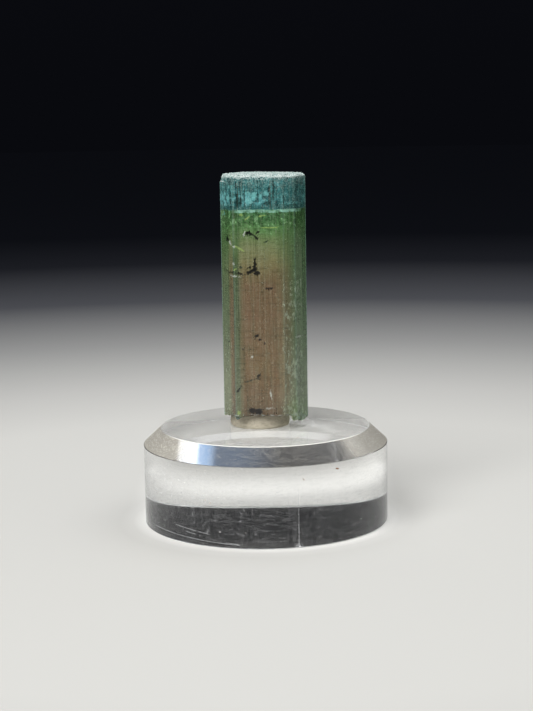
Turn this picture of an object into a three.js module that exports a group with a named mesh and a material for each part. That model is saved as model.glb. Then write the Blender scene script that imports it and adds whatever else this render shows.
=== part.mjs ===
import * as THREE from 'three';

// A tourmaline prism, teal over green over a brown-pink core, held upright by a pad of
// mineral tack on a round bevelled acrylic stand. Millimetres, +Z up. The origin is the
// centre of the stand's underside, and the side that is usually looked at faces -Y.

// Stand
const STAND_RADIUS = 15.875;
const STAND_HEIGHT = 12.33;
const BEVEL_ACROSS = 2.28;
const BEVEL_DOWN = 2.1;
const EDGE_BREAK = 0.12;
const STAND_FACETS = 128;

// Tack pad: a squashed disc that meets the stand nearly full width and rounds in under the crystal
const PAD_CENTRE_X = -0.65;
const PAD_CENTRE_Y = 0.85;
const PAD_RADIUS_X = 3.95;
const PAD_RADIUS_Y = 4.05;
const PAD_THICKNESS = 1.97;
const PAD_LUMPS = 0.05;
const PAD_FACETS = 56;
// Share of the thickness, and share of the radius there
const PAD_PROFILE = [
  [0, 0.95],
  [0.04, 0.98],
  [0.15, 1],
  [0.5, 1],
  [0.75, 0.99],
  [0.9, 0.94],
  [1, 0.82],
];

// Crystal: plan of the prism, anticlockwise from the front left edge
const PRISM_PLAN = [
  [-3.68, -3.9],
  [2.7, -3.95],
  [4.15, -3.1],
  [5.6, -0.6],
  [5.6, 0.4],
  [4.2, 2.8],
  [-0.6, 5.57],
  [-2.0, 5.57],
  [-3.0, 5.0],
  [-5.26, 1.1],
  [-5.26, -1.2],
];
const PRISM_BOTTOM = STAND_HEIGHT + PAD_THICKNESS;
const PRISM_TOP = 45.05;
const PLAN_STEP = 0.31;

// Striations: grooves along the prism, each running some way up it
const GROOVE_DEPTH = 0.11;
const GROOVE_RUN = 9;
const RIB_WIDTH = 1.3;
const LEVELS_BETWEEN_RIMS = 15;

// Terminated top: a flat frosted face with a rounded, chipped rim
const TOP_RELIEF = 0.07;
const TOP_CHIP = 0.16;
const TOP_CHIP_REACH = 0.2;
// Distance below the top face, and inset of the rim there
const TOP_RIM = [
  [0.75, 0],
  [0.34, 0.02],
  [0.12, 0.1],
  [0, 0.27],
];
// A flake is gone from the left side of the top
const FLAKE_RIGHT_END = -4.7;
const FLAKE_HEIGHT = 0.8;
const FLAKE_DEPTH = 0.17;

// Broken lower end: a lobe on the right hangs below the pad's top
const LOBE_DROP = 0.7;
const LOBE_START = 3.3;
const LOBE_FULL = 3.75;
const LOBE_SLOPE = 0.3;
// Distance from the middle at which each lower corner begins and ends, and its rise: the right
// one is worn away, and the left one hangs down a little
const RIGHT_CORNER = [5.1, 5.6, 0.45];
const LEFT_CORNER = [4.4, 5.26, -0.25];
const SPLINTER_CENTRE = [-3.4, -3.9];
const SPLINTER_RADIUS = 0.9;
const SPLINTER_DROP = 0.42;
const BREAK_RELIEF = 0.22;
// Share of the relief that lies above the plane of the pad's top
const BREAK_ABOVE = 0.1;
// Height above the break, and inset of the rim there
const BOTTOM_RIM = [
  [0, 0.14],
  [0.16, 0.03],
  [0.6, 0],
];

const CAP_RINGS = [0.93, 0.85, 0.77, 0.69, 0.5, 0.25];

const lerp = THREE.MathUtils.lerp;
const smoothstep = THREE.MathUtils.smoothstep;

// A repeatable value from 0 to 1 for a whole-numbered place in a lattice
function hash(column, row, seed) {
  const value = Math.sin(column * 127.1 + row * 311.7 + seed * 74.7) * 43758.5453;
  return value - Math.floor(value);
}

// Smooth noise from 0 to 1. It repeats after `period` columns, so that it closes round a plan.
function noise(x, y, seed, period) {
  const column = Math.floor(x);
  const row = Math.floor(y);
  const across = smoothstep(x - column, 0, 1);
  const up = smoothstep(y - row, 0, 1);
  const here = ((column % period) + period) % period;
  const next = (here + 1) % period;
  const low = lerp(hash(here, row, seed), hash(next, row, seed), across);
  const high = lerp(hash(here, row + 1, seed), hash(next, row + 1, seed), across);
  return lerp(low, high, up);
}

// Points along the plan with the outward direction at each, and with the edges kept sharp
function planPoints() {
  const corners = PRISM_PLAN.map(([x, y]) => new THREE.Vector2(x, y));
  const count = corners.length;
  const outward = corners.map((corner, i) => {
    const along = corners[(i + 1) % count].clone().sub(corner).normalize();
    return new THREE.Vector2(along.y, -along.x);
  });
  return corners.flatMap((corner, i) => {
    const end = corners[(i + 1) % count];
    const steps = Math.max(2, Math.round(corner.distanceTo(end) / PLAN_STEP));
    return Array.from({ length: steps }, (_, k) => {
      const before = outward[(i + count - 1) % count];
      const normal = k ? outward[i].clone() : outward[i].clone().add(before).normalize();
      return { at: corner.clone().lerp(end, k / steps), normal };
    });
  });
}

// How far the surface lies inside the plan: fine grooves on broad ribs
function grooveDepth(index, z, count) {
  const fine = noise(index, z / GROOVE_RUN, 3, count);
  const ribs = Math.round(count / (RIB_WIDTH / PLAN_STEP));
  const broad = noise((index * ribs) / count, z / (3 * GROOVE_RUN), 8, ribs);
  return GROOVE_DEPTH * (0.6 * fine * fine + 0.4 * broad);
}

function bottomHeight(x, y) {
  const step = LOBE_DROP * smoothstep(x, LOBE_START, LOBE_FULL);
  const lobe = step + LOBE_SLOPE * Math.max(0, x - LOBE_FULL);
  const [from, to, rise] = x > 0 ? RIGHT_CORNER : LEFT_CORNER;
  const corner = rise * smoothstep(Math.abs(x), from, to);
  const fromSplinter = Math.hypot(x - SPLINTER_CENTRE[0], y - SPLINTER_CENTRE[1]);
  const splinter = SPLINTER_DROP * (1 - smoothstep(fromSplinter, 0, SPLINTER_RADIUS));
  const outside = Math.hypot((x - PAD_CENTRE_X) / PAD_RADIUS_X, (y - PAD_CENTRE_Y) / PAD_RADIUS_Y);
  const rough = smoothstep(outside, 1, 1.12);
  const bumps = noise(x * 2.1 + 40, y * 2.1 + 40, 5, 1000);
  const relief = BREAK_RELIEF * (bumps - 1 + BREAK_ABOVE);
  return PRISM_BOTTOM - lobe + corner - splinter + rough * relief;
}

function topHeight(x, y) {
  return PRISM_TOP - TOP_RELIEF * noise(x * 1.7 + 60, y * 1.7 + 60, 9, 1000);
}

// Joins rings of equally many points, listed from the underside up, into one closed skin
function closedSkin(rings, lowest, highest) {
  const count = rings[0].length;
  const points = [...rings.flat(), lowest, highest];
  const faces = [];
  const last = (rings.length - 1) * count;
  for (let i = 0; i < count; i += 1) {
    const next = (i + 1) % count;
    for (let ring = 0; ring < rings.length - 1; ring += 1) {
      const below = ring * count;
      const above = below + count;
      faces.push(below + i, below + next, above + next);
      faces.push(below + i, above + next, above + i);
    }
    faces.push(points.length - 2, next, i);
    faces.push(points.length - 1, last + i, last + next);
  }
  const geometry = new THREE.BufferGeometry();
  geometry.setAttribute('position', new THREE.Float32BufferAttribute(points.flat(), 3));
  geometry.setIndex(faces);
  geometry.computeVertexNormals();
  return geometry;
}

function crystalGeometry() {
  const plan = planPoints();
  const count = plan.length;
  const centre = plan
    .reduce((sum, point) => sum.add(point.at), new THREE.Vector2())
    .divideScalar(count);
  const inset = (i, z, amount) =>
    plan[i].at.clone().addScaledVector(plan[i].normal, -amount - grooveDepth(i, z, count));
  const indices = plan.map((_, i) => i);

  const lowerRim = BOTTOM_RIM.map(([up, amount]) =>
    indices.map((i) => {
      const spot = inset(i, PRISM_BOTTOM, amount);
      return [spot.x, spot.y, bottomHeight(plan[i].at.x, plan[i].at.y) + up];
    }),
  );
  const upperRim = TOP_RIM.map(([down, amount]) =>
    indices.map((i) => {
      const chips = TOP_CHIP * noise(i * 0.5, 0, 6, Math.ceil(count / 2)) ** 2;
      const chip = down < TOP_CHIP_REACH ? chips : 0;
      const flake = plan[i].at.x < FLAKE_RIGHT_END && down < FLAKE_HEIGHT ? FLAKE_DEPTH : 0;
      const spot = inset(i, PRISM_TOP, amount + flake + chip);
      return [spot.x, spot.y, topHeight(spot.x, spot.y) - down - chip];
    }),
  );
  const shaft = Array.from({ length: LEVELS_BETWEEN_RIMS }, (_, level) => {
    const share = (level + 1) / (LEVELS_BETWEEN_RIMS + 1);
    return indices.map((i) => {
      const z = lerp(lowerRim.at(-1)[i][2], upperRim[0][i][2], share);
      const spot = inset(i, z, 0);
      return [spot.x, spot.y, z];
    });
  });

  const capRing = (rim, scale, height) =>
    rim.map(([x, y]) => {
      const spot = [lerp(centre.x, x, scale), lerp(centre.y, y, scale)];
      return [...spot, height(...spot)];
    });
  const underside = CAP_RINGS.map((scale) => capRing(lowerRim[0], scale, bottomHeight)).reverse();
  const face = CAP_RINGS.map((scale) => capRing(upperRim.at(-1), scale, topHeight));
  return closedSkin(
    [...underside, ...lowerRim, ...shaft, ...upperRim, ...face],
    [centre.x, centre.y, bottomHeight(centre.x, centre.y)],
    [centre.x, centre.y, topHeight(centre.x, centre.y)],
  );
}

function padGeometry() {
  const rings = PAD_PROFILE.map(([height, width]) =>
    Array.from({ length: PAD_FACETS }, (_, i) => {
      const angle = (i / PAD_FACETS) * 2 * Math.PI;
      const lump = PAD_LUMPS * noise((i * 9) / PAD_FACETS, height * 2, 4, 9);
      return [
        PAD_CENTRE_X + PAD_RADIUS_X * (width - lump) * Math.cos(angle),
        PAD_CENTRE_Y + PAD_RADIUS_Y * (width - lump) * Math.sin(angle),
        STAND_HEIGHT + PAD_THICKNESS * height,
      ];
    }),
  );
  return closedSkin(
    rings,
    [PAD_CENTRE_X, PAD_CENTRE_Y, STAND_HEIGHT],
    [PAD_CENTRE_X, PAD_CENTRE_Y, STAND_HEIGHT + PAD_THICKNESS],
  );
}

function standGeometry() {
  const profile = [
    [0, 0],
    [STAND_RADIUS - EDGE_BREAK, 0],
    [STAND_RADIUS, EDGE_BREAK],
    [STAND_RADIUS, STAND_HEIGHT - BEVEL_DOWN],
    [STAND_RADIUS - BEVEL_ACROSS, STAND_HEIGHT],
    [0, STAND_HEIGHT],
  ];
  const points = profile.map(([radius, height]) => new THREE.Vector2(radius, height));
  return new THREE.LatheGeometry(points, STAND_FACETS).rotateX(Math.PI / 2);
}

function piece(name, geometry, colour, roughness) {
  const material = new THREE.MeshStandardMaterial({ color: colour, roughness, metalness: 0 });
  const mesh = new THREE.Mesh(geometry, material);
  mesh.name = name;
  return mesh;
}

const specimen = new THREE.Group();
specimen.add(piece('acrylic_base', standGeometry(), 0xd6dadd, 0.08));
specimen.add(piece('mineral_tack', padGeometry(), 0xa59b8c, 0.75));
specimen.add(piece('tourmaline_crystal', crystalGeometry(), 0x55784f, 0.25));

export default specimen;
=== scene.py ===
"""A tourmaline prism on a pad of mineral tack and a round clear stand, with its studio."""

import math
import random

import bmesh
import bpy
import numpy as np
from mathutils import Matrix, Vector


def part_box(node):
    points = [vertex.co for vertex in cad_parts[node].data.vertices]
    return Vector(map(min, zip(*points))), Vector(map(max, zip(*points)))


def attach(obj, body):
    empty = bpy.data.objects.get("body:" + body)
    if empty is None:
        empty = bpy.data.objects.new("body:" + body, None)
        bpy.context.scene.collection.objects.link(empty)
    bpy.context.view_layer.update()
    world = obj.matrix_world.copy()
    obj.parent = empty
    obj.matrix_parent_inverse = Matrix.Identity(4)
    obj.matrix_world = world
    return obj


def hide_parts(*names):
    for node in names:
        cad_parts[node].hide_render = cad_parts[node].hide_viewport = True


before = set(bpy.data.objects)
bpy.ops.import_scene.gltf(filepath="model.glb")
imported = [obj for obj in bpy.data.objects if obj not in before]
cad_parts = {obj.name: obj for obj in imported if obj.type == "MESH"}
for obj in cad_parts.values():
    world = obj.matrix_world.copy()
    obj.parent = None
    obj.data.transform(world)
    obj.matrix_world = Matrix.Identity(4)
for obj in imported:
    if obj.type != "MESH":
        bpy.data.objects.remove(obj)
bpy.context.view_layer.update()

bl_info = {
    "name": "Tourmaline on a Clear Stand",
    "version": (1, 0, 0),
    "blender": (4, 5, 0),
    "location": "3D View > Sidebar > Tourmaline",
    "description": "Builds a tourmaline specimen, its tack, its clear stand and its studio",
    "category": "Add Mesh",
}

STAND_LOW, STAND_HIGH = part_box("acrylic_base")
PAD_LOW, PAD_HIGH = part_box("mineral_tack")
PRISM_LOW, PRISM_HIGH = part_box("tourmaline_crystal")

MM = 0.001
STAND_RADIUS = STAND_HIGH.x
STAND_HEIGHT = STAND_HIGH.z
BEVEL_ACROSS = 2.28 * MM
BEVEL_DOWN = 2.10 * MM
BOTTOM_EDGE_BREAK = 0.12 * MM
BEVEL_EDGE_BREAK = 0.03 * MM

# Plan of the prism in millimetres, anticlockwise from the front left edge
PRISM_PLAN = (
    (-3.68, -3.90),
    (2.70, -3.95),
    (4.15, -3.10),
    (5.60, -0.60),
    (5.60, 0.40),
    (4.20, 2.80),
    (-0.60, 5.57),
    (-2.00, 5.57),
    (-3.00, 5.00),
    (-5.26, 1.10),
    (-5.26, -1.20),
)
PRISM_TOP = PRISM_HIGH.z / MM
PRISM_BREAK = PAD_HIGH.z / MM

# The broken lower end, in millimetres: the lobe at the right, and how far a corner is worn away
LOBE_DROP = 0.7
LOBE_SLOPE = 0.3
LOBE_START = 3.32
LOBE_FULL = 3.72
RIGHT_CORNER = 0.45
LEFT_CORNER = -0.25
SPLINTER = (-3.4, -3.9)
SPLINTER_DROP = 0.42
SPLINTER_RADIUS = 0.9
# The flake off the left of the top rim, in millimetres
FLAKE_RIGHT_END = -4.7
FLAKE_DEPTH = 0.17
FLAKE_LOW = PRISM_TOP - 0.98
FLAKE_HIGH = PRISM_TOP - 0.80

# The photograph's camera: its place in metres, its directions, and its picture in pixels
CAMERA_PLACE = (0.000312, -0.207717, 0.054421)
CAMERA_RIGHT = (0.99987, -0.00255, -0.01611)
CAMERA_UP = (0.01631, 0.15657, 0.98753)
PICTURE_WIDTH = 533
PICTURE_HEIGHT = 711
FOCAL_PIXELS = 1621.85
SENSOR_WIDTH = 36.0

# Colour of the dark at the horizon
DARKNESS = "#090a0e"

# The air left under the stand, which makes its underside reflect
FLOOR_GAP = 0.02 * MM


class Value:
    """A node's output that takes part in arithmetic. Each step adds a Math node."""

    def __init__(self, graph, socket):
        self.graph = graph
        self.socket = socket

    def math(self, operation, *others, clamp=False):
        settings = {"operation": operation, "use_clamp": clamp}
        return self.graph.node("ShaderNodeMath", settings, dict(enumerate((self, *others))))

    def __add__(self, other):
        return self.math("ADD", other)

    def __sub__(self, other):
        return self.math("SUBTRACT", other)

    def __rsub__(self, other):
        return self.graph.node("ShaderNodeMath", {"operation": "SUBTRACT"}, {0: other, 1: self})

    def __mul__(self, other):
        return self.math("MULTIPLY", other)

    def __truediv__(self, other):
        return self.math("DIVIDE", other)

    def __pow__(self, other):
        return self.math("POWER", other)

    def __abs__(self):
        return self.math("ABSOLUTE")

    __radd__ = __add__

    def clamped(self):
        return self.math("ADD", 0.0, clamp=True)

    def highest(self, other):
        return self.math("MAXIMUM", other)

    def step(self, low, high):
        """0 below low and 1 above high, with a smooth rise between. High may be the lower."""
        rises = low < high
        first, last = (low, high) if rises else (high, low)
        inputs = {0: self, 1: first, 2: last, 3: float(not rises), 4: float(rises)}
        return self.graph.node(
            "ShaderNodeMapRange", {"interpolation_type": "SMOOTHSTEP"}, inputs
        )

    def band(self, low, high, soft):
        """1 between low and high, fading to 0 over soft outside them."""
        return self.step(low - soft, low) * self.step(high + soft, high)


class Graph:
    """A node tree of a material or of geometry nodes, built by one method."""

    def __init__(self, tree):
        self.tree = tree
        tree.nodes.clear()

    def node(self, kind, settings=None, inputs=None, output=0):
        """Adds a node, sets its settings, feeds its sockets and gives one output."""
        made = self.tree.nodes.new(kind)
        for name, value in (settings or {}).items():
            setattr(made, name, value)
        for name, value in (inputs or {}).items():
            self.feed(made.inputs[name], value)
        return Value(self, made.outputs[output])

    def feed(self, socket, value):
        if isinstance(value, Value):
            self.tree.links.new(value.socket, socket)
        elif value is not None:
            socket.default_value = value

    def mix(self, factor, low, high):
        """A colour mixed from two, by a number or a mask."""
        inputs = {0: factor, 6: colour(low), 7: colour(high)}
        return self.node("ShaderNodeMix", {"data_type": "RGBA"}, inputs, output=2)

    def ramp(self, share, stops):
        """A colour from (place, colour) stops along the share."""
        shade = self.node("ShaderNodeValToRGB", {}, {0: share})
        elements = shade.socket.node.color_ramp.elements
        while len(elements) < len(stops):
            elements.new(1.0)
        for element, (place, tone) in zip(elements, stops):
            element.position = place
            element.color = colour(tone)
        return shade

    def coats(self, shade, *coats):
        """A colour with others laid over it in turn, each by its mask."""
        for mask, tone in coats:
            shade = self.mix(mask, shade, tone)
        return shade

    def place(self):
        """The piece's own coordinates in metres: the vector, then each axis."""
        vector = self.node("ShaderNodeTexCoord", output="Object")
        axes = self.node("ShaderNodeSeparateXYZ", {}, {0: vector}).socket.node.outputs
        return vector, *(Value(self, axis) for axis in axes)

    def vectors(self, operation, inputs, output=0):
        settings = {"operation": operation}
        return self.node("ShaderNodeVectorMath", settings, inputs, output)

    def noise(self, place, scale, detail=2.0, roughness=0.5, across=1.0, up=1.0):
        """Noise whose pattern gets longer across or up as that factor gets smaller."""
        if (across, up) != (1.0, 1.0):
            place = self.vectors("MULTIPLY", {0: place, 1: (across, across, up)})
        inputs = {"Vector": place, "Scale": scale, "Detail": detail, "Roughness": roughness}
        return self.node("ShaderNodeTexNoise", {}, inputs)

    def bump(self, height, strength, distance):
        inputs = {"Strength": strength, "Distance": distance, "Height": height}
        return self.node("ShaderNodeBump", {}, inputs)

    def principled(self, inputs):
        return self.node("ShaderNodeBsdfPrincipled", {}, inputs)


def colour(value):
    """A linear RGBA value from an sRGB hex text; anything else passes as it is."""
    if not isinstance(value, str):
        return value
    parts = [int(value[i : i + 2], 16) / 255 for i in (1, 3, 5)]
    linear = [p / 12.92 if p <= 0.04045 else ((p + 0.055) / 1.055) ** 2.4 for p in parts]
    return (*linear, 1.0)


def hex_colour(value):
    return colour(value)[:3]


def new_material(name):
    material = bpy.data.materials.new(name)
    material.use_nodes = True
    return material, Graph(material.node_tree)


def finish_material(graph, surface, volume=None):
    made = graph.tree.nodes.new("ShaderNodeOutputMaterial")
    graph.feed(made.inputs["Surface"], surface)
    graph.feed(made.inputs["Volume"], volume)


def new_object(name, data):
    made = bpy.data.objects.new(name, data)
    bpy.context.scene.collection.objects.link(made)
    return made


def new_piece(name, mesh, material, node=None, slot_name=None):
    """A finished piece of the object, riding on the one body."""
    mesh.materials.clear()
    mesh.materials.append(material)
    piece = new_object(name, mesh)
    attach(piece, "root")
    if node:
        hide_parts(node)
    return piece


def mesh_from(name, points, faces, smooth_angle=None):
    """A mesh with outward faces, smooth except across edges sharper than the angle."""
    mesh = bpy.data.meshes.new(name)
    mesh.from_pydata([tuple(p) for p in points], [], [tuple(f) for f in faces])
    mesh.update()
    if smooth_angle is not None:
        mesh.shade_smooth()
        mesh.set_sharp_from_angle(angle=smooth_angle)
    return mesh


def ring_faces(ring_count, size):
    """Quads between rings of equally many points, listed from the underside up."""
    faces = []
    for ring in range(ring_count - 1):
        below = ring * size
        above = below + size
        for i in range(size):
            following = (i + 1) % size
            faces.append((below + i, below + following, above + following, above + i))
    return faces


def closed_faces(ring_count, size):
    """Quads between the rings, and fans to the lower and the upper pole, which come last."""
    faces = ring_faces(ring_count, size)
    poles = ring_count * size
    last = poles - size
    for i in range(size):
        following = (i + 1) % size
        faces.append((poles, following, i))
        faces.append((poles + 1, last + i, last + following))
    return faces


def lathe(name, profile, segments, smooth_angle):
    """A turned solid from (radius, height) points, which start and end on the axis."""
    angles = np.linspace(0.0, 2 * math.pi, segments, endpoint=False)
    (_, low), *rings, (_, high) = profile
    points = [(r * math.cos(a), r * math.sin(a), z) for r, z in rings for a in angles]
    points += [(0.0, 0.0, low), (0.0, 0.0, high)]
    return mesh_from(name, points, closed_faces(len(rings), segments), smooth_angle)


def length_field(name, description, default):
    return bpy.props.FloatProperty(
        name=name, description=description, default=default, subtype="DISTANCE", unit="LENGTH"
    )


def power_field(name, description, default):
    return bpy.props.FloatProperty(
        name=name, description=description, default=default, unit="POWER"
    )


def density_field(name, description, default):
    return bpy.props.FloatProperty(name=name, description=description, default=default, min=0.0)


def colour_field(name, description, default):
    return bpy.props.FloatVectorProperty(
        name=name, description=description, default=default, subtype="COLOR", size=3
    )


class StandSettings(bpy.types.PropertyGroup):
    """Sizes and finish of the clear stand"""

    segments: bpy.props.IntProperty(
        name="Segments", description="Sides of the turned stand", default=256, min=32
    )
    tint: colour_field("Tint", "Colour of the acrylic", (0.985, 0.985, 0.975))
    polish_marks: length_field("Polish Marks", "Depth of the turning lines", 0.004 * MM)


class TackSettings(bpy.types.PropertyGroup):
    """Sizes and finish of the pad"""

    tone: colour_field("Tone", "Colour of the tack", hex_colour("#c3bba6"))
    lump: length_field("Lumps", "Height of the lumps that fingers left", 0.09 * MM)


class CrystalSettings(bpy.types.PropertyGroup):
    """Sizes and colours of the tourmaline"""

    step: length_field("Step", "Spacing of the surface's points round the prism", 0.065 * MM)
    groove: length_field("Groove", "Depth of the deepest striations", 0.05 * MM)
    clearness: bpy.props.FloatProperty(
        name="Clearness", description="Share of the light that passes through",
        default=0.4, min=0.0, max=1.0, subtype="FACTOR",
    )
    blush: colour_field("Blush", "Colour of the pinkest places in the core", hex_colour("#a87661"))


class GrainSettings(bpy.types.PropertyGroup):
    """Number and size of the grains on the crystal and of the dust on the stand"""

    seed: bpy.props.IntProperty(
        name="Seed", description="Repeats the same scatter of grains", default=7
    )
    frost: density_field("Frost", "Grains on a square metre of the crystal's top", 1.6e7)
    splinters: density_field("Splinters", "Grains on a square metre of the broken edge", 2.2e7)
    dust: density_field("Dust", "Grains of dust on a square metre of the stand", 1.5e5)
    grain: length_field("Grain", "Radius of the largest grain", 0.075 * MM)


class StudioSettings(bpy.types.PropertyGroup):
    """Size and light of the studio"""

    floor_radius: length_field("Floor Radius", "Radius of the pale floor", 1.6)
    softbox_power: power_field("Softbox", "Power of the softbox overhead", 1.55)
    fill_power: power_field("Fill", "Power of the weak light from the front", 5.6)
    ceiling: colour_field("Ceiling", "Colour of the room's lit ceiling", (0.40, 0.40, 0.385))


class SPECIMEN_OT_stand(bpy.types.Operator):
    """Builds the round bevelled clear stand"""

    bl_idname = "specimen.stand"
    bl_label = "Clear Stand"

    def execute(self, context):
        settings = context.scene.specimen_stand
        mesh = lathe("clear_stand", stand_profile(), settings.segments, math.radians(15))
        new_piece("clear_stand", mesh, acrylic(settings), "acrylic_base", "clear_acrylic")
        return {"FINISHED"}


def stand_profile():
    """Radius and height down the side of the stand, from under its middle to over it."""
    wall_top = STAND_HEIGHT - BEVEL_DOWN
    rim = STAND_RADIUS - BEVEL_ACROSS
    length = math.hypot(BEVEL_ACROSS, BEVEL_DOWN)
    across = BEVEL_ACROSS / length * BEVEL_EDGE_BREAK
    down = BEVEL_DOWN / length * BEVEL_EDGE_BREAK
    return [
        (0.0, 0.0),
        (STAND_RADIUS / 2, 0.0),
        (STAND_RADIUS - BOTTOM_EDGE_BREAK, 0.0),
        (STAND_RADIUS, BOTTOM_EDGE_BREAK),
        (STAND_RADIUS, wall_top / 2),
        (STAND_RADIUS, wall_top - BEVEL_EDGE_BREAK),
        (STAND_RADIUS - across, wall_top + down),
        (rim + across, STAND_HEIGHT - down),
        (rim - BEVEL_EDGE_BREAK, STAND_HEIGHT),
        (STAND_RADIUS / 2, STAND_HEIGHT),
        (0.0, STAND_HEIGHT),
    ]


ACRYLIC_IOR = 1.49
# Where the wall was scored: place across the stand, how far up, and half the width of the line
SCORE_ACROSS = 3.93 * MM
SCORE_TOP = 9.3 * MM
SCORE_WIDTH = 0.05 * MM
# Scratches on the wall: where they start and end across the stand, and how high, in millimetres
WALL_SCRATCHES = (
    (-11.2, 2.10, -7.2, 1.62), (-14.0, 1.05, -3.4, 0.50), (-9.9, 1.52, -8.9, 1.40),
    (-4.9, 0.72, -3.6, 0.60),
)


def wall_marks(x, z, smears, specks):
    """The scored line, the chip at its foot, and the scratches low on the wall."""
    off = abs(x - SCORE_ACROSS)
    score = off.step(SCORE_WIDTH * 2, SCORE_WIDTH) * z.step(SCORE_TOP, SCORE_TOP - 5 * MM)
    chip = off.step(0.7 * MM, 0.1 * MM) * z.step(0.8 * MM, 0.1 * MM) * specks.step(0.42, 0.58)
    marks = (score * smears.step(0.36, 0.56) * 0.3).highest(chip * 0.75)
    for from_x, from_z, to_x, to_z in WALL_SCRATCHES:
        slope = (to_z - from_z) / (to_x - from_x)
        off = abs(z - from_z * MM - (x - from_x * MM) * slope)
        line = off.step(0.06 * MM, 0.02 * MM) * x.band(from_x * MM, to_x * MM, 0.3 * MM)
        marks = marks.highest(line * specks.step(0.3, 0.5) * 0.34)
    return marks


def acrylic(settings):
    """Clear cast acrylic: polished top, sawn bevel, and a film of haze, dust and scratches, with
    painted sheen, glints, a rim highlight and a dark line.
    """
    material, graph = new_material("clear_acrylic")
    place, x, y, z = graph.place()
    radius = (x * x + y * y) ** 0.5
    wall_top = STAND_HEIGHT - BEVEL_DOWN
    rim = STAND_RADIUS - BEVEL_ACROSS
    above_wall = z.step(wall_top - 0.04 * MM, wall_top)
    on_top = z.step(STAND_HEIGHT - 0.05 * MM, STAND_HEIGHT - 0.02 * MM)
    on_bevel = above_wall - on_top
    outside = radius.step(STAND_RADIUS - 0.3 * MM, STAND_RADIUS - 0.15 * MM)
    on_wall = outside * (1.0 - above_wall)

    turned = graph.node("ShaderNodeCombineXYZ", {}, {0: radius, 1: z, 2: y * 0.02})
    lines = graph.noise(turned, 9000.0, 3.0, 0.7)
    haze = graph.noise(place, 420.0, 4.0, 0.65)
    specks = graph.noise(place, 3000.0, 4.0, 0.75)
    sparks = graph.noise(place, 6600.0, 2.0, 0.6, across=0.8, up=1.3)
    smears = graph.noise(place, 3600.0, 4.0, 0.7, across=0.16)
    upright = graph.noise(place, 1900.0, 3.0, 0.6, up=0.03)

    front = on_wall * y.step(0.0, -1.0 * MM)
    scratches = wall_marks(x, z, smears, specks)
    edge = outside * z.step(0.14 * MM, 0.09 * MM) * 0.75
    # Painted highlight: a thin bright line on the rim between the top and the bevel, strongest at the
    # front
    rim_highlight = radius.band(rim - 0.05 * MM, rim + 0.03 * MM, 0.05 * MM) * z.step(
        STAND_HEIGHT - 0.12 * MM, STAND_HEIGHT - 0.06 * MM
    )
    rim_highlight = rim_highlight * (0.3 + y.step(-4 * MM, -9 * MM) * 0.7)
    # Painted shade: a dark line along the top of the wall, where it meets the bevel
    wall_top_shade = abs(z - wall_top).step(0.07 * MM, 0.03 * MM)

    roughness = 0.012 + haze.step(0.52, 0.8) * 0.05 + on_wall * 0.045
    roughness = roughness + on_bevel * (0.08 + specks.step(0.4, 0.7) * 0.10)
    principled = {
        "Base Color": (*settings.tint, 1.0),
        "Roughness": roughness,
        "IOR": ACRYLIC_IOR,
        "Transmission Weight": 1.0,
        "Normal": graph.bump(lines * on_top + specks * on_bevel, 0.25, settings.polish_marks),
    }
    clear = graph.principled(principled)

    # The pale film is real haze and dust, and it also carries the painted sheen, glints and rim
    # highlight and the painted dark line
    film_tone = graph.coats(
        "#f1f3f4", (above_wall, "#f3ede0"), (on_top, "#fbfaf6"), (wall_top_shade, "#55534e")
    )
    film = {"Base Color": film_tone, "Roughness": 0.9, "Specular IOR Level": 0.2}
    dust = graph.principled(film)
    # Painted sheen: the film thickens at grazing angles, brightening the sides of the wall, the ends
    # of the bevel and the top over the real haze
    facing = graph.node("ShaderNodeLayerWeight", {}, {"Blend": 0.5}, output="Facing")
    wall_film_and_sheen = 0.006 + smears.step(0.50, 0.62) * 0.07 + facing ** 2 * 0.14
    wall_film_and_sheen = wall_film_and_sheen + upright.step(0.5, 0.7) * 0.03
    wall_film_and_sheen = wall_film_and_sheen + specks.step(0.58, 0.66) * (0.10 + x.step(6 * MM, -6 * MM) * 0.14)
    wall_film_and_sheen = wall_film_and_sheen * (0.35 + y.step(0.0, -2 * MM) * 0.65) * (0.6 + haze * 0.8)
    # Painted glints: pale silver sparkle on the sawn bevel, weaker towards the right
    silver_glints = sparks.step(0.50, 0.62) * (0.3 + smears.step(0.42, 0.54) * 0.7)
    silver_glints = silver_glints * (0.28 - x.step(2 * MM, 6 * MM) * 0.12)
    bevel_sheen_and_glints = facing.step(0.33, 0.43) * 0.33 + silver_glints
    # Over the top the film is real haze, raised as a painted sheen that brightens the top
    top_haze_and_sheen = 0.15 + facing ** 6 * 0.4
    covered = on_wall * wall_film_and_sheen + on_bevel * bevel_sheen_and_glints + on_top * top_haze_and_sheen
    covered = covered.highest(scratches * front).highest(edge).highest(rim_highlight).highest(wall_top_shade * 0.6)
    inputs = {0: covered.clamped(), 1: clear, 2: dust}
    finish_material(graph, graph.node("ShaderNodeMixShader", {}, inputs))
    return material


class SPECIMEN_OT_tack(bpy.types.Operator):
    """Builds the squashed pad of mineral tack"""

    bl_idname = "specimen.tack"
    bl_label = "Mineral Tack"

    def execute(self, context):
        settings = context.scene.specimen_tack
        mesh = pad_mesh(settings)
        new_piece("tack_pad", mesh, putty(settings), "mineral_tack", "tack_putty")
        return {"FINISHED"}


# Share of the pad's thickness, and share of its width there
PAD_PROFILE = (
    (0.0, 0.945), (0.03, 0.965), (0.1, 0.987), (0.24, 1.0), (0.42, 1.0),
    (0.58, 0.995), (0.72, 1.0), (0.86, 1.0), (0.95, 0.99), (1.0, 0.96),
)
PAD_SIDES = 160


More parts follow.
